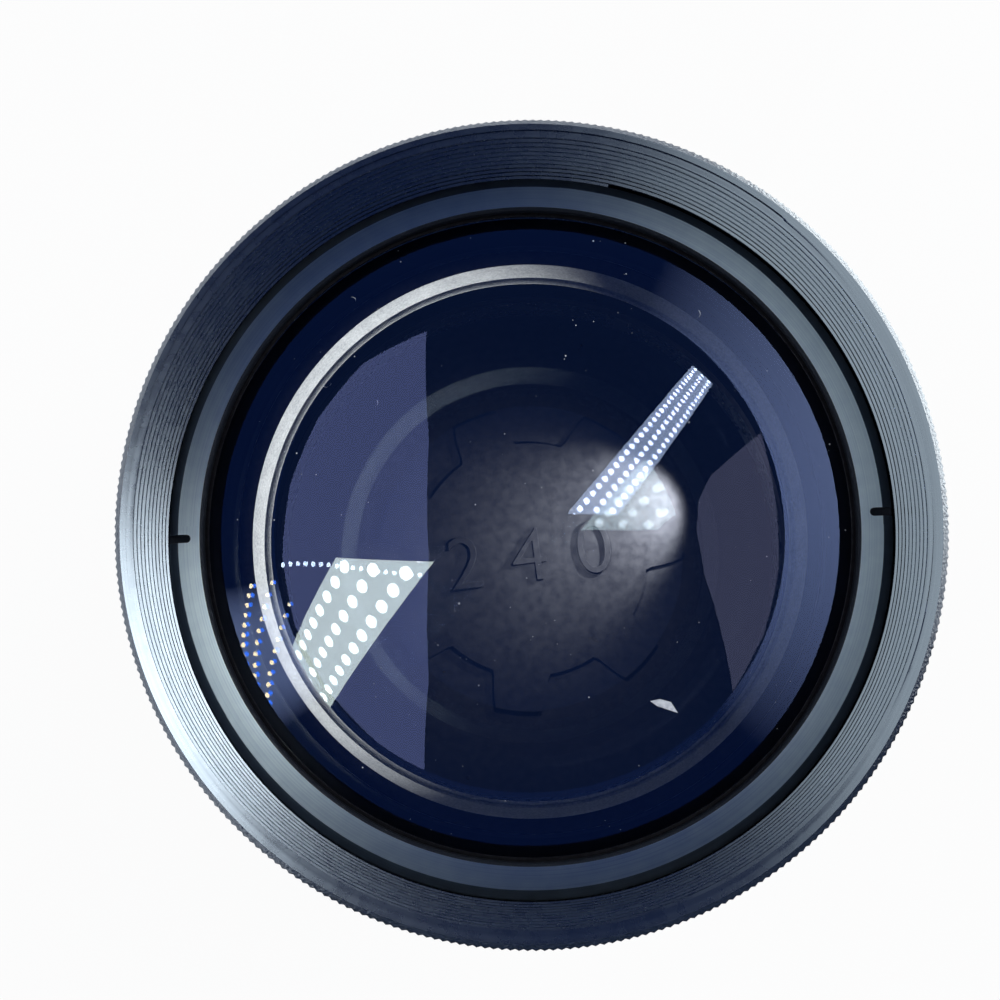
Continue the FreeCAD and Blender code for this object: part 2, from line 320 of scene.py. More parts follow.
band_low, band_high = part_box("rear_retaining_ring")
band_bore = 19.3 * mm
band_top = 20.9 * mm
band_land = 0.5 * mm
band_groove = 0.25 * mm
rear_ring = piece_from(spun([
    (band_bore, band_low.z),
    (band_high.x, band_low.z),
    (band_high.x, band_high.z),
    (band_top, band_high.z),
    (band_bore + 2 * band_groove, band_low.z + band_land),
    (band_bore + 2 * band_groove, band_low.z + band_land - band_groove),
    (band_bore + band_groove, band_low.z + band_land - band_groove),
    (band_bore + band_groove, band_low.z + band_land),
    (band_bore, band_low.z + band_land),
], 256, 0.04 * mm), "rear_ring")
paint(rear_ring, 1, lambda face: face.normal.z > 0.9 and face.center.z > band_high.z - 0.1 * mm)
dress(rear_ring, band_grey, washer_black)
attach(rear_ring, "lens_body")
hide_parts("rear_retaining_ring")


# Baffle sleeve
# A loose sleeve of blackened aluminium between the two groups. It rests on the rear retaining ring, inside
# the barrel, and its stepped bore traps stray light.

sleeve_black = dyed_aluminium("blackened sleeve", (0.018, 0.020, 0.026), 0.5, 0.2 * mm, 0.008 * mm)
dress(nodes["baffle_sleeve"], sleeve_black)


# Front shell
# Turned from aluminium bar and dyed black. The rim is diamond knurled outside and has the M58 x 0.75 thread
# inside. Below the knurled band it narrows to the waist, where it screws on the rear barrel.

shell_low, shell_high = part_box("front_shell")
rim_top = shell_high.z
rim_radius = shell_high.x
rim_height = 7.5 * mm
rim_chamfer = 0.64 * mm
thread_crest = 28.6 * mm
thread_root = 29.0 * mm
thread_pitch = 0.75 * mm
crest_flat = 0.29  # share of the pitch
root_flat = 0.10
weld = 0.002 * mm
thread_end = rim_top - 8.2 * mm
thread_top = rim_top - 0.22 * mm
lead_in = thread_top - 0.3 * mm
lead_in_rows = 4

knurl_teeth = 320
knurl_depth = 0.14 * mm
knurl_row = 0.42 * mm

groove_height = 0.7 * mm
groove_depth = 0.5 * mm
neck_radius = 29.4 * mm
neck_height = 3.5 * mm
waist_radius = 28.8 * mm
joint_radius = 27.0 * mm
joint_height = 4.4 * mm
seat_radius = 25.4 * mm
seat_height = shell_low.z + 6.0 * mm
glass_bore = 28.2 * mm
relief_radius = 29.0 * mm
relief_bottom = 33.86 * mm


def polar(vertex):
    """Radius and angle of a vertex about the axis."""
    return math.hypot(vertex.co.x, vertex.co.y), math.atan2(vertex.co.y, vertex.co.x)


def set_radius(vertex, radius):
    """Moves a vertex straight out or in to a radius."""
    now = math.hypot(vertex.co.x, vertex.co.y)
    vertex.co.x *= radius / now
    vertex.co.y *= radius / now


def helix(bm, low, high, steps, tooth, end_radius):
    """Adds a screw surface between two heights. The tooth is one turn's outline of (radius, share of pitch)."""
    turns = math.ceil((high - low) / thread_pitch) + 2
    chain = []
    for turn in range(turns):
        for radius, share in tooth:
            chain.append(bm.verts.new((radius, 0, low + (turn - 1.5 + share) * thread_pitch)))
    edges = [bm.edges.new(pair) for pair in zip(chain, chain[1:])]
    bmesh.ops.spin(bm, geom=chain + edges, cent=(0, 0, 0), axis=(0, 0, 1), angle=2 * math.pi,
                   dvec=(0, 0, thread_pitch / steps), steps=steps)
    bmesh.ops.remove_doubles(bm, verts=bm.verts, dist=weld)
    for vertex in bm.verts:
        if not low + weld < vertex.co.z < high - weld:
            vertex.co.z = low if vertex.co.z < (low + high) / 2 else high
            set_radius(vertex, end_radius)
    bmesh.ops.remove_doubles(bm, verts=bm.verts, dist=weld)


def female_thread():
    """The thread inside the rim, cut off by its lead-in chamfer."""
    bm = bmesh.new()
    tooth = [
        (thread_crest, 0.0),
        (thread_crest, crest_flat),
        (thread_root, 0.5 + crest_flat / 2 - root_flat / 2),
        (thread_root, 0.5 + crest_flat / 2 + root_flat / 2),
    ]
    helix(bm, thread_end, thread_top, 2 * knurl_teeth, tooth, thread_root)
    for cut in range(lead_in_rows):
        height = lead_in + (thread_top - lead_in) * cut / lead_in_rows
        bmesh.ops.bisect_plane(bm, geom=bm.verts[:] + bm.edges[:] + bm.faces[:], plane_co=(0, 0, height),
                               plane_no=(0, 0, 1), dist=1e-7)
    for vertex in bm.verts:
        if vertex.co.z > lead_in:
            cone = thread_crest + (vertex.co.z - lead_in) * (thread_root - thread_crest) / (thread_top - lead_in)
            set_radius(vertex, max(polar(vertex)[0], cone))
    return bm


def knurled_band():
    """The outside of the rim: diamonds cut by two sets of slanting grooves, with the chamfers at both ends."""
    bm = bmesh.new()
    low = rim_top - rim_height
    bevel_rows = 4
    rows = [low + rim_chamfer * index / bevel_rows for index in range(bevel_rows)]
    count = int((rim_height - 2 * rim_chamfer) / knurl_row)
    step = (rim_height - 2 * rim_chamfer) / count
    rows += [low + rim_chamfer + step * index for index in range(count)]
    rows += [rim_top - rim_chamfer + rim_chamfer * index / bevel_rows for index in range(bevel_rows + 1)]
    chain = [bm.verts.new((rim_radius, 0, height)) for height in rows]
    edges = [bm.edges.new(pair) for pair in zip(chain, chain[1:])]
    bmesh.ops.spin(bm, geom=chain + edges, cent=(0, 0, 0), axis=(0, 0, 1), angle=2 * math.pi,
                   steps=2 * knurl_teeth, use_merge=True)
    lows = []
    for vertex in bm.verts:
        radius, angle = polar(vertex)
        column = round(angle / math.pi * knurl_teeth)
        row = round((vertex.co.z - low - rim_chamfer) / step)
        end = min(vertex.co.z - low, rim_top - vertex.co.z)
        cone = rim_radius - rim_chamfer + end
        valley = (column + row) % 2
        if valley:
            lows.append(vertex)
        set_radius(vertex, min(rim_radius - knurl_depth * valley, cone))
    bmesh.ops.connect_verts(bm, verts=lows)
    return bm


def plain_shell():
    """The rest of the shell, open where the thread and the knurled band join it."""
    bm = bmesh.new()
    low = rim_top - rim_height
    outline = [
        (relief_radius, thread_end), (relief_radius, relief_bottom), (glass_bore, relief_bottom),
        (glass_bore, seat_height), (seat_radius, seat_height),
        (seat_radius, shell_low.z + joint_height), (joint_radius, shell_low.z + joint_height),
        (joint_radius, shell_low.z), (waist_radius, shell_low.z),
        (neck_radius, low - neck_height), (neck_radius, low - groove_height),
        (neck_radius - groove_depth, low - groove_height), (neck_radius - groove_depth, low),
        (rim_radius - rim_chamfer, low),
    ]
    chain = [bm.verts.new((radius, 0, height)) for radius, height in outline]
    edges = [bm.edges.new(pair) for pair in zip(chain, chain[1:])]
    bmesh.ops.spin(bm, geom=chain + edges, cent=(0, 0, 0), axis=(0, 0, 1), angle=2 * math.pi,
                   steps=2 * knurl_teeth, use_merge=True)
    return bm


def merged(*parts):
    """One mesh of several."""
    whole = bmesh.new()
    for part in parts:
        mesh = bpy.data.meshes.new("part")
        part.to_mesh(mesh)
        part.free()
        whole.from_mesh(mesh)
        bpy.data.meshes.remove(mesh)
    return whole


def widen(bm, height, start, end, end_height):
    """Adds a ring from the open edge at a height and radius to another radius and height."""
    rim = [e for e in bm.edges if len(e.link_faces) == 1 and
           all(abs(v.co.z - height) < weld and abs(polar(v)[0] - start) < weld for v in e.verts)]
    for made in bmesh.ops.extrude_edge_only(bm, edges=rim)["geom"]:
        if isinstance(made, bmesh.types.BMVert):
            set_radius(made, end)
            made.co.z = end_height


shell = merged(female_thread(), knurled_band(), plain_shell())
widen(shell, thread_top, thread_root, rim_radius - rim_chamfer, rim_top)
bmesh.ops.remove_doubles(shell, verts=shell.verts, dist=weld)
bmesh.ops.recalc_face_normals(shell, faces=shell.faces)
mark_sharp(shell)
front_shell = piece_from(shell, "front_shell_dressed")
chamfer_start = rim_radius - rim_chamfer
paint(front_shell, 1, lambda face: face.center.xy.length > chamfer_start - 0.05 * mm)
# Slot 2, the top chamfer of the knurl, gets a lighter grey: painted sheen for the light it catches.
paint(front_shell, 2, lambda face: face.center.xy.length > chamfer_start and 0.3 < face.normal.z < 0.95 and
      face.center.z > rim_top - rim_chamfer)

shell_black = dyed_aluminium("turned black", (0.25, 0.29, 0.33), 0.27, 0.18 * mm, 0.004 * mm)
knurl_black = dyed_aluminium("knurled black", (0.30, 0.34, 0.38), 0.30, 0.18 * mm, 0.003 * mm)
# A lighter copy of the dyed aluminium: painted sheen on the top chamfer of the knurl. Its bumps are the real knurl
# speckle.
knurl_edge_sheen = dyed_aluminium("knurl edge sheen", (0.42, 0.46, 0.50), 0.34, 0.18 * mm, 0.003 * mm)
knurl_edge_sheen.feed("Normal", knurl_edge_sheen.bumps(knurl_edge_sheen.noise(4200.0, 2.0), 0.14 * mm))
dress(front_shell, shell_black, knurl_black, knurl_edge_sheen)
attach(front_shell, "lens_body")
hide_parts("front_shell")


# Front glass
# The large crown and flint, cemented into one body. It drops in through the thread onto its seat.

front_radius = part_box("front_crown_lens")[1].x
front_curve = 54 * mm
front_back_curve = 160 * mm
front_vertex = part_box("front_crown_lens")[1].z
front_back_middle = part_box("front_flint_lens")[0].z
front_glass = glass_body(
    "front_glass", front_radius, (front_curve, front_vertex), (-front_back_curve, front_back_middle),
    (coated_glass("front coating, front", 1.6, (0.5, 0.6, 1.0)),
     coated_glass("front coating, back", 1.6, (0.02, 0.02, 0.03)), ink))
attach(front_glass, "lens_body")
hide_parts("front_crown_lens", "front_flint_lens")


# Front washer and front retaining ring
# The washer is a thin black film on the edge of the glass. The ring is turned, bevelled at both edges and
# slotted twice for a spanner. It screws down on the washer.

dress(nodes["front_washer"], washer_black)

ring_low, ring_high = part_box("front_retaining_ring")
ring_bore = 25.75 * mm
ring_inner_bevel = (0.18 * mm, 0.28 * mm)
ring_outer_bevel = (0.95 * mm, 0.7 * mm)
ring_lip = 0.9 * mm
ring_glass_edge = 28.1 * mm
notch_width = 0.65 * mm
notch_depth = 0.9 * mm
notch_length = 1.95 * mm
notch_angle = math.radians(2.1)


def carved(piece, cutter):
    """Cuts a mesh out of a piece."""
    tool = piece_from(cutter, "cutter")
    cut = piece.modifiers.new("cut", "BOOLEAN")
    cut.object = tool
    cut.solver = "EXACT"
    bpy.context.view_layer.update()
    seen = piece.evaluated_get(bpy.context.evaluated_depsgraph_get())
    piece.data = bpy.data.meshes.new_from_object(seen)
    piece.modifiers.clear()
    bpy.data.objects.remove(tool)
    bm = bmesh.new()
    bm.from_mesh(piece.data)
    mark_sharp(bm)
    bm.to_mesh(piece.data)
    bm.free()


front_ring = piece_from(spun([
    (ring_bore, ring_high.z - ring_lip),
    (ring_glass_edge, ring_low.z),
    (ring_high.x, ring_low.z),
    (ring_high.x, ring_high.z - ring_outer_bevel[1]),
    (ring_high.x - ring_outer_bevel[0], ring_high.z),
    (ring_bore + ring_inner_bevel[0], ring_high.z),
    (ring_bore, ring_high.z - ring_inner_bevel[1]),
], 256, 0.03 * mm), "front_ring")

notches = bmesh.new()
notch_start = ring_high.x - notch_length + notch_width / 2
for side in range(2):
    turn = Matrix.Rotation(notch_angle + side * math.pi, 4, "Z")
    place = turn @ Matrix.Translation((notch_start, 0, ring_high.z))
    made = bmesh.ops.create_cone(notches, cap_ends=True, segments=24, radius1=notch_width / 2,
                                 radius2=notch_width / 2, depth=2 * notch_depth)["verts"]
    bmesh.ops.translate(notches, verts=[v for v in made if v.co.x > 0], vec=(2 * notch_length, 0, 0))
    bmesh.ops.transform(notches, verts=made, matrix=place)
carved(front_ring, notches)

# Every face but the top gets a near-black finish: painted shade on the bevels, walls and slots of the turned ring.
paint(front_ring, 1, lambda face: face.normal.z < 0.9 or face.center.z < ring_high.z - 0.1 * mm)
ring_satin = dyed_aluminium("satin ring face", (0.78, 0.92, 1.0), 0.46, 0.10 * mm, 0.002 * mm, 0.9)
# Near black: painted shade for the ring's bevels and walls.
ring_shaded_edges = Finish("ring edges in painted shade", Specular_IOR_Level=0.35)
ring_shaded_edges.feed("Base Color", ring_shaded_edges.ramp(ring_shaded_edges.lathe_lines(0.15 * mm),
                                              [(0.3, (0.010, 0.013, 0.020)), (0.7, (0.020, 0.024, 0.032))]))
ring_shaded_edges.feed("Roughness", ring_shaded_edges.span(ring_shaded_edges.noise(1200.0), 0.3, 0.7, 0.38, 0.5))
# The outer bevel gets a darker copy of the satin face: painted shade.
ring_bevel_shade = dyed_aluminium("satin ring bevel in painted shade", (0.22, 0.27, 0.33), 0.5, 0.10 * mm, 0.002 * mm)
paint(front_ring, 2, lambda face: face.center.xy.length > ring_high.x - 1.2 * ring_outer_bevel[0] and
      0.5 < face.normal.z < 0.95)
dress(front_ring, ring_satin, ring_shaded_edges, ring_bevel_shade)
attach(front_ring, "lens_body")
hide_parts("front_retaining_ring")


# Dust
# Specks, a few curled fibres and one pale flake, as on any used lens. They lie loose on the front glass, a
# hair above the polish.

dust_reach = 25 * mm
speck_count = 110
speck_sides = 7
speck_radius = 0.02 * mm
speck_spread = 0.05 * mm
fibre_count = 5
fibre_turn = 2.4
fibre_width = Vector((0.03 * mm, 0.02 * mm, 0))


def on_dome(x, y, lift=0.012 * mm):
    """The point of the front glass at that place, and a little above it."""
    return Vector((x, y, front_vertex - sag(front_curve, math.hypot(x, y)) + lift))


chance = random.Random(11)
dirt = bmesh.new()
for speck in range(speck_count):
    angle = chance.uniform(0, 2 * math.pi)
    out = dust_reach * math.sqrt(chance.random())
    size = speck_radius + speck_spread * chance.random() ** 4
    spot = on_dome(out * math.cos(angle), out * math.sin(angle))
    place = Matrix.Translation(spot)
    bmesh.ops.create_circle(dirt, cap_ends=True, segments=speck_sides, radius=size, matrix=place)
for fibre in range(fibre_count):
    angle = chance.uniform(0.2, 2.6)
    out = chance.uniform(14, 24) * mm
    bend = chance.uniform(0.25, 0.5) * mm
    spot = on_dome(out * math.cos(angle), out * math.sin(angle))
    bow = bmesh.ops.create_circle(dirt, segments=24, radius=bend, matrix=Matrix.Translation(spot))["verts"]
    start = chance.uniform(-math.pi, 0)
    turned = [(math.atan2(v.co.y - spot.y, v.co.x - spot.x) - start) % (2 * math.pi) for v in bow]
    spare = [v for v, turn in zip(bow, turned) if not 0 < turn < fibre_turn]
    bmesh.ops.delete(dirt, geom=spare, context="VERTS")
    edges = list({e for v in bow if v.is_valid for e in v.link_edges})
    wide = bmesh.ops.extrude_edge_only(dirt, edges=edges)["geom"]
    bmesh.ops.translate(dirt, verts=[v for v in wide if isinstance(v, bmesh.types.BMVert)], vec=fibre_width)
flake = [(9.09, -13.33), (9.84, -13.19), (10.68, -13.43), (11.23, -14.26), (10.31, -13.95), (9.62, -13.71)]
dirt.faces.new([dirt.verts.new(on_dome(x * mm, y * mm, 0.03 * mm)) for x, y in flake])
dust = piece_from(dirt, "dust")
dust_grey = mottled("dust", 3000.0, (0.55, 0.58, 0.62), (0.85, 0.87, 0.9), 1500.0, (0.8, 0.95),
                    Specular_IOR_Level=0.2)
dress(dust, dust_grey)
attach(dust, "lens_body")


# Mount ring and screws
# The ring is turned and dyed like the shell, and carries the male thread for the adapter tube. Four steel
# screws hold it to the barrel. Three steel grub screws lock the joint of barrel and shell.

dress(nodes["rear_mount_ring"], shell_black)
steel = mottled("blackened steel", 900.0, (0.05, 0.05, 0.055), (0.09, 0.09, 0.1), 700.0, (0.28, 0.42),
                Metallic=0.9)
dress(nodes["mount_screws"], steel)
dress(nodes["barrel_grub_screws"], steel)


# Rear cap
# Moulded in black polyethylene, with grip ribs round its skirt. It screws over the rear thread. A low toothed
# figure and a number stand up from its floor.

cap_black = Finish("moulded black plastic", Specular_IOR_Level=0.45)
mould = cap_black.noise(1500.0, 4.0)
cap_black.feed("Base Color", cap_black.ramp(mould, [(0.3, (0.012, 0.012, 0.014)), (0.7, (0.022, 0.022, 0.025))]))
cap_black.feed("Roughness", cap_black.span(cap_black.noise(500.0), 0.3, 0.7, 0.38, 0.52))
cap_black.feed("Normal", cap_black.bumps(mould, 0.02 * mm))
dress(nodes["rear_cap"], cap_black)

cap_floor = 2.0 * mm
plate_height = 0.25 * mm
plate_radius = 9.9 * mm
plate_reach = 12.8 * mm
plate_teeth = 7
plate_start = 60.0
tooth_reach = 13.5  # degrees, from the middle of a tooth to its foot
tooth_flank = 4.5


def toothed_plate():
    """The low raised figure in the middle of the cap's floor: a disc with short broad teeth."""
    bm = bmesh.new()
    bmesh.ops.create_circle(bm, cap_ends=True, segments=36 * plate_teeth, radius=plate_radius)
    period = 360 / plate_teeth
    for vertex in bm.verts:
        turned = (math.degrees(polar(vertex)[1]) - plate_start + period / 2) % period - period / 2
        rise = min(1.0, max(0.0, (tooth_reach - abs(turned)) / tooth_flank))
        set_radius(vertex, plate_radius + rise * (plate_reach - plate_radius))
    top = bmesh.ops.extrude_face_region(bm, geom=bm.faces[:])["geom"]
    raised = [v for v in top if isinstance(v, bmesh.types.BMVert)]
    bmesh.ops.translate(bm, verts=raised, vec=(0, 0, plate_height))
    bmesh.ops.translate(bm, verts=bm.verts, vec=(0, 0, cap_floor - 0.02 * mm))
    bmesh.ops.recalc_face_normals(bm, faces=bm.faces)
    mark_sharp(bm)
    return bm


plate = dress(piece_from(toothed_plate(), "cap_plate"), cap_black)
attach(plate, "rear_cap")

digits = bpy.data.curves.new("mould_number", "FONT")
digits.body = "240"
digits.size = 6.6 * mm
digits.space_character = 1.68
digits.extrude = 0.14 * mm
digits.bevel_depth = 0.04 * mm
digits.offset = -0.1 * mm
digits.align_x = "CENTER"
digits.align_y = "CENTER"
digit_object = bpy.data.objects.new("mould_number_text", digits)
bpy.context.scene.collection.objects.link(digit_object)
bpy.context.view_layer.update()
digit_mesh = bpy.data.meshes.new_from_object(
    digit_object.evaluated_get(bpy.context.evaluated_depsgraph_get()))
bpy.data.objects.remove(digit_object)
digit_mesh.transform(Matrix.Translation((0, 0, cap_floor + plate_height + 0.1 * mm)) @
                     Matrix.Rotation(math.radians(7.2), 4, "Z"))
mould_number = bpy.data.objects.new("mould_number", digit_mesh)
bpy.context.scene.collection.objects.link(mould_number)
dress(mould_number, cap_black)
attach(mould_number, "rear_cap")


# Table and light
# A plain white table, two large soft boxes left and right, and a strip of small lamps above. The boxes light
# every surface but the polished glass. That shows plain panels and the strip in their place.

def scattered(wiring):
    """1 once a ray has met a matt surface."""
    depth = wiring.node("LightPath", output="Diffuse Depth")
    return wiring.node("Math", {"operation": "MINIMUM"}, {0: depth, 1: 1.0})


def past_glass(wiring, surfaces):
    """1 once a ray has gone through that many polished surfaces."""
    depth = wiring.node("LightPath", output="Transmission Depth")
    return wiring.span(depth, surfaces - 1.0, surfaces)


def mirrored(wiring):
    """1 for a ray that comes straight from polished glass."""
    return wiring.node("LightPath", output="Is Singular Ray")


def unseen(piece, *rays):
    """Keeps a piece or lamp out of some kinds of ray."""
    for ray in rays:
        setattr(piece, "visible_" + ray, False)


table = Finish("white table")
clean_rays = table.node("LightPath", output="Is Camera Ray")
table.feed("Base Color", table.ramp(table.noise(30.0), [(0.3, (0.80, 0.80, 0.80)), (0.7, (0.82, 0.82, 0.82))]))
table.shader.inputs["Roughness"].default_value = 0.7
white = table.node("Emission", {}, {"Color": (1.0, 1.0, 1.0, 1.0), "Strength": 1.0})
mix = table.node("MixShader", {}, {0: clean_rays * 0.95, 1: Signal(table, table.shader.outputs[0]), 2: white})
table.show(mix)
bm = bmesh.new()
bmesh.ops.create_grid(bm, x_segments=1, y_segments=1, size=3.0)
floor = piece_from(bm, "table")
dress(floor, table)


patch_height = 0.5 * mm
patch_reach = (48 * mm, 500 * mm)


def mirrored_table_patch(name, start, end, colour, strength):
    """A glowing patch on the table between two azimuths, seen only in the metal: painted reflection of lit or
    shaded table.
    """
    patch = Finish(name)
    light = patch.node("Emission", {}, {"Color": (*colour, 1.0), "Strength": strength})
    patch.show(light)
    patch.material.cycles.emission_sampling = "NONE"
    bm = bmesh.new()
    chain = [bm.verts.new((out, 0, patch_height)) for out in patch_reach]
    edge = bm.edges.new(chain)
    bmesh.ops.rotate(bm, verts=chain, cent=(0, 0, 0), matrix=Matrix.Rotation(math.radians(start), 3, "Z"))
    bmesh.ops.spin(bm, geom=chain + [edge], cent=(0, 0, 0), axis=(0, 0, 1), angle=math.radians(end - start),
                   steps=32)
    piece = dress(piece_from(bm, name), patch)
    unseen(piece, "camera", "diffuse", "transmission", "shadow")


# Painted reflections in the metal: a bright patch for lit table, a dark one for table in shade.
mirrored_table_patch("lit_table_reflection", 5, 58, (0.97, 1.0, 1.0), 2.4)
mirrored_table_patch("shaded_table_reflection", 232, 345, (0.03, 0.06, 0.12), 0.3)


def facing(azimuth, zenith, distance):
    """Place of a panel that faces the lens. Its Y side runs away from the zenith."""
    turn = Matrix.Rotation(math.radians(azimuth), 4, "Z") @ Matrix.Rotation(math.radians(zenith), 4, "Y")
    return (Matrix.Translation((0, 0, 40 * mm)) @ turn @ Matrix.Translation((0, 0, distance)) @
            Matrix.Rotation(math.radians(90), 4, "Z"))


def lit_panel(name, share, colour, strength, sampling, behind=None):
    """A finish that gives light to its share of the rays and lets the others through.

    The strength behind is the one that a ray meets when it has gone through glass."""
    panel = Finish(name)
    light = panel.node("Emission", {}, {"Color": (*colour, 1.0), "Strength": strength})
    if behind:
        dimmer = panel.node("Emission", {}, {"Color": (*colour, 1.0), "Strength": behind})
        light = panel.node("MixShader", {}, {0: past_glass(panel, 1), 1: light, 2: dimmer})
    clear = panel.node("BsdfTransparent")
    panel.show(panel.node("MixShader", {}, {0: share(panel), 1: clear, 2: light}))
    panel.material.cycles.emission_sampling = sampling
    return panel


def soft_box(name, azimuth, zenith, width, height, distance, strength, colour):
    """A soft box that faces the lens. It lights every surface but isn't mirrored in the glass."""
    def share(panel):
        return (1 - mirrored(panel)) * (1 - past_glass(panel, 3) * 0.85)

    bm = bmesh.new()
    bmesh.ops.create_grid(bm, x_segments=1, y_segments=1, size=0.5)
    bmesh.ops.scale(bm, verts=bm.verts, vec=(width, height, 1))
    bmesh.ops.transform(bm, verts=bm.verts, matrix=facing(azimuth, zenith, distance))
    box = dress(piece_from(bm, name), lit_panel(name, share, colour, strength, "AUTO"))
    unseen(box, "camera")


soft_box("left_box", 190, 40, 1.25, 0.45, 0.7, 1.15, (0.9, 0.96, 1.0))
soft_box("right_box", 31, 47, 0.36, 0.36, 0.7, 5.2, (0.98, 1.0, 1.0))

fill = bpy.data.lights.new("fill", "AREA")
fill.size = 1.5
fill.energy = 6.0
fill_lamp = bpy.data.objects.new("fill", fill)
fill_lamp.location = (0, 0, 1.4)
unseen(fill_lamp, "camera", "glossy", "transmission")
bpy.context.scene.collection.objects.link(fill_lamp)


def inner_lamp(name, place, target, power, cone, softness):
    """A small spot lamp inside the lens. It stands for light that the glass gathers and throws there."""
    lamp = bpy.data.lights.new(name, "SPOT")
    lamp.energy = power
    lamp.spot_size = math.radians(cone)
    lamp.spot_blend = softness
    lamp.shadow_soft_size = 0.4 * mm
    holder = bpy.data.objects.new(name, lamp)
    place = Vector(place) * mm
    aim = (Vector(target) * mm - place).to_track_quat("-Z", "Y")
    holder.matrix_world = Matrix.Translation(place) @ aim.to_matrix().to_4x4()
    unseen(holder, "camera", "glossy", "transmission")
    bpy.context.scene.collection.objects.link(holder)


inner_lamp("band_light", (12.6, -3.6, 27.2), (-19.4, 6.0, 23), 0.09, 115, 1.0)
inner_lamp("cap_glow", (12.0, 5.2, 6.4), (8.6, 3.8, 2), 0.045, 104, 0.5)
inner_lamp("cap_light", (3, 2, 11), (1, 0, 2), 0.014, 150, 1.0)


def glow(name, colour, strength, surfaces, behind=None):
    """Light that only shows as a mirror image, in a ray that has met no more polished surfaces than given."""
    def share(panel):
        return mirrored(panel) * (1 - scattered(panel)) * (1 - past_glass(panel, surfaces + 1))

    return lit_panel(name, share, colour, strength, "NONE", behind)


def mirrored_only(panel):
    """Keeps a mesh out of camera, diffuse and shadow rays, so that it shows only in mirror images."""
    unseen(panel, "camera", "diffuse", "shadow")


strip_height = 450 * mm
veil_height = strip_height + 5 * mm


def veil(name, outline, colour):
    """A dim flat screen of that outline, in millimetres, in the plane of the lamps."""
    bm = bmesh.new()
    bm.faces.new([bm.verts.new((x * mm, y * mm, veil_height)) for x, y in outline])
    mirrored_only(dress(piece_from(bm, name), glow(name, colour, 1.0, 0)))


veil("left_veil", [(-239, 511), (-177, 186), (-167, -26), (-186, -246), (-260, -566), (-369, -462), (-487, -338),
                   (-566, -185), (-598, -15), (-581, 158), (-515, 319), (-405, 455)], (1.4, 1.5, 2.2))
veil("right_veil", [(588, 295), (467, 216), (359, 140), (319, 85), (310, 28), (331, -55), (392, -169), (485, -341),
                    (563, -205), (601, -48), (596, 114)], (1.1, 1.0, 1.1))

strip_start = Vector((104 * mm, 48 * mm, strip_height))
strip_end = Vector((410 * mm, 410 * mm, strip_height))
strip_width = 65 * mm
strip_rows = 3
strip_lamps = 28
strip_cut = 47 * mm
strip_spare = 3  # lamps before the start, for the slanting cut


def lamp_strip():
    """A flat strip with three rows of small round lamps, cut off where the camera's shade hides it."""
    along = strip_end - strip_start
    pitch = strip_width / strip_rows
    reach = strip_spare * pitch
    length = along.length
    bm = bmesh.new()
    bmesh.ops.create_grid(bm, x_segments=1, y_segments=1, size=0.5)
    bmesh.ops.scale(bm, verts=bm.verts, vec=(length + reach, strip_width, 1))
    bmesh.ops.translate(bm, verts=bm.verts, vec=((length - reach) / 2, 0, 0))
    for row in range(strip_rows):
        for lamp in range(-strip_spare, strip_lamps):
            spot = Matrix.Translation(((lamp + 0.5) * length / strip_lamps, (row - 1) * pitch, -1 * mm))
            made = bmesh.ops.create_circle(bm, cap_ends=True, segments=12, radius=0.24 * pitch,
                                           matrix=spot)["verts"]
            for face in {f for v in made for f in v.link_faces}:
                face.material_index = 1
    turn = Matrix.Rotation(math.atan2(along.y, along.x), 4, "Z")
    bmesh.ops.transform(bm, verts=bm.verts, matrix=Matrix.Translation(strip_start) @ turn)
    bmesh.ops.bisect_plane(bm, geom=bm.verts[:] + bm.edges[:] + bm.faces[:], plane_co=(0, strip_cut, 0),
                           plane_no=(0, -1, 0), clear_outer=True, dist=1e-7)
    return bm


mirrored_only(dress(piece_from(lamp_strip(), "lamp_strip"),
                    glow("strip board", (0.92, 1.0, 0.92), 6.5, 6, 3.6),
                    glow("strip lamps", (1.0, 1.0, 0.95), 42.0, 6, 10.0)))

level_lamps = 18
level_row = bmesh.new()
for lamp in range(level_lamps):
    t = lamp / (level_lamps - 1)
    bmesh.ops.create_circle(level_row, cap_ends=True, segments=12, radius=3.6 * mm,
                            matrix=facing(183.7 + 11.9 * t ** 2, 56.0 - 31.1 * t, 400 * mm))
mirrored_only(dress(piece_from(level_row, "level_row"), glow("level row", (0.95, 1.0, 0.8), 28.0, 0)))

wall_radius = 28.4 * mm


def reflection_row(name, ends, count, colour, shift=0.0):
    """Points of light just inside the rim, on a curve through three places (azimuth, height). They show only in
    the glass: a painted reflection of small lamps.
    """
    bm = bmesh.new()
    for lamp in range(count):
        t = lamp / (count - 1)
        weights = (2 * (t - 0.5) * (t - 1), 4 * t * (1 - t), 2 * t * (t - 0.5))
        azimuth = sum(w * end[0] for w, end in zip(weights, ends))
        height = sum(w * end[1] for w, end in zip(weights, ends)) * mm + shift
        matrix = (Matrix.Rotation(math.radians(azimuth), 4, "Z") @ Matrix.Translation((wall_radius, 0, height)) @
                  Matrix.Rotation(math.radians(90), 4, "Y"))
        bmesh.ops.create_circle(bm, cap_ends=True, segments=12, radius=0.25 * mm, matrix=matrix)
    mirrored_only(dress(piece_from(bm, name), glow(name, colour, 1.0, 0)))


# Painted reflections: rows of warm and blue dots that the glass mirrors as the images of small lamps.
for number, (ends, count) in enumerate((
        (((191.2, 41.3), (201.1, 38.9), (210.5, 36.9)), 12),
        (((191.2, 44.0), (204.4, 39.6), (214.3, 36.9)), 13),
        (((196.8, 45.8), (209.0, 40.1), (217.8, 36.8)), 13))):
    reflection_row(f"warm_reflection_row_{number + 1}", ends, count, (30, 22, 9))
    reflection_row(f"blue_reflection_row_{number + 1}", ends, count, (1, 4, 14), 0.4 * mm)
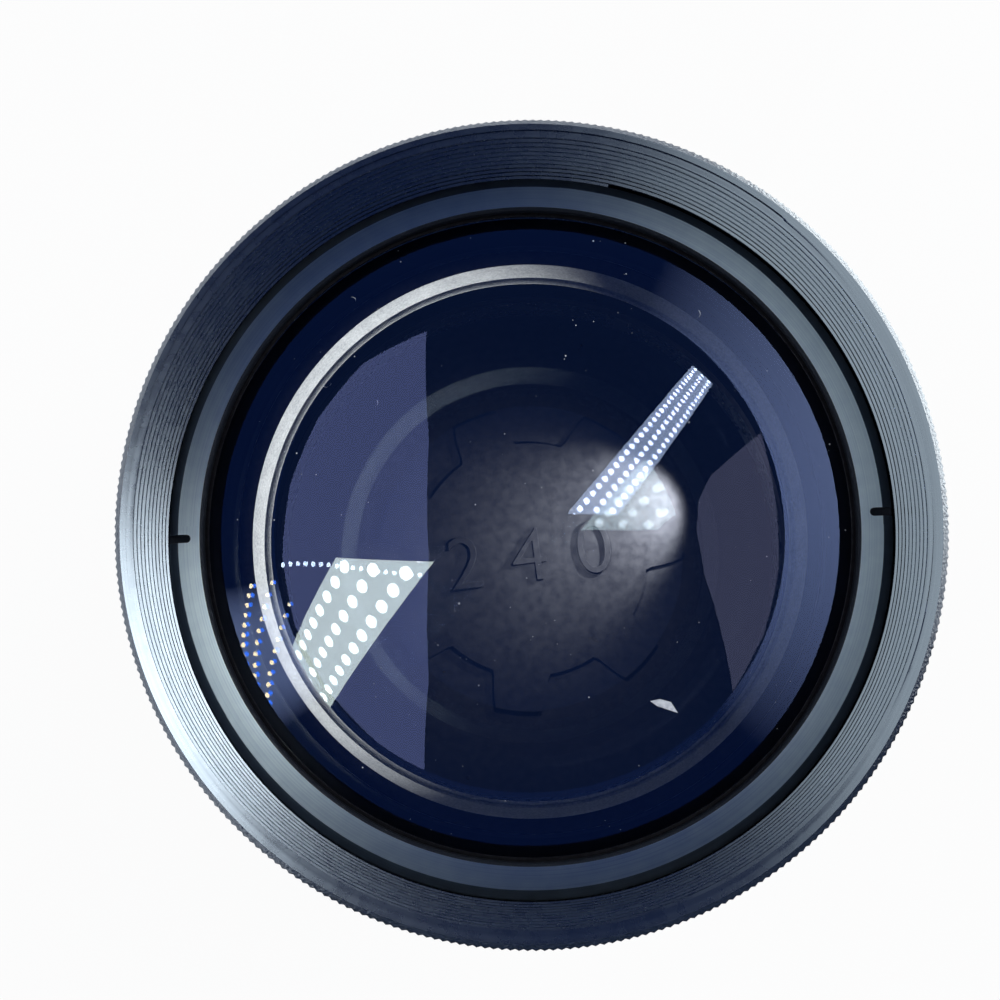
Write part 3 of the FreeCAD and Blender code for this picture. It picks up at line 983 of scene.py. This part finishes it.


# A glowing sleeve just inside the rim that shows only in the glass: painted reflection of light on the glass.
wall_reflection_sleeve = bmesh.new()
veil_edges = (ring_high.z + 0.1 * mm, rim_top)
chain = [wall_reflection_sleeve.verts.new((wall_radius + 0.1 * mm, 0, height)) for height in veil_edges]
edge = wall_reflection_sleeve.edges.new(chain)
bmesh.ops.spin(wall_reflection_sleeve, geom=chain + [edge], cent=(0, 0, 0), axis=(0, 0, 1), angle=2 * math.pi, steps=128,
               use_merge=True)
haze = glow("wall reflection glow", (1.0, 1.0, 1.0), 4.0, 0)
across = haze.along("X") * (1 / wall_radius)
along = haze.along("Y") * (1 / wall_radius)
# Brightest towards two sides of the rim: painted light falling from there.
lit = (haze.span(across * 0.985 + along * 0.17, 0.60, 1.0) +
       haze.span(across * -0.906 - along * 0.423, 0.972, 0.998))
haze.put(haze.ramp(lit, [(0.0, (0.008, 0.025, 0.09)), (1.0, (0.5, 0.6, 0.8))]),
         haze.tree.nodes["Emission"].inputs["Color"])
mirrored_only(dress(piece_from(wall_reflection_sleeve, "wall_reflection_sleeve"), haze))

world = bpy.data.worlds.new("room")
bpy.context.scene.world = world
world.use_nodes = True
room = Wiring(world.node_tree)
dim = room.node("Background", {}, {"Color": (0.014, 0.03, 0.10, 1.0), "Strength": 1.0})
deep = room.node("Background", {}, {"Color": (0.010, 0.036, 0.13, 1.0), "Strength": 1.0})
first_mirror = mirrored(room) * (1 - scattered(room)) * (1 - past_glass(room, 1))
sky = room.node("MixShader", {}, {0: first_mirror, 1: dim, 2: deep})
world.node_tree.links.new(sky.socket, world.node_tree.nodes["World Output"].inputs["Surface"])


# Camera
# It stands close over the front rim, a little towards the lower edge of the picture.

camera_place = (0.6 * mm, -7.25 * mm, 120 * mm)
camera_data = bpy.data.cameras.new("camera")
camera_data.sensor_width = 36.0
camera_data.lens = 38.0
camera_data.clip_start = 0.005
camera = bpy.data.objects.new("camera", camera_data)
tilt = Matrix.Rotation(math.radians(-6.4), 4, "X") @ Matrix.Rotation(math.radians(-1.89), 4, "Y")
camera.matrix_world = Matrix.Translation(camera_place) @ tilt.transposed()
bpy.context.scene.collection.objects.link(camera)
bpy.context.scene.camera = camera
bpy.context.scene.view_settings.view_transform = "Standard"
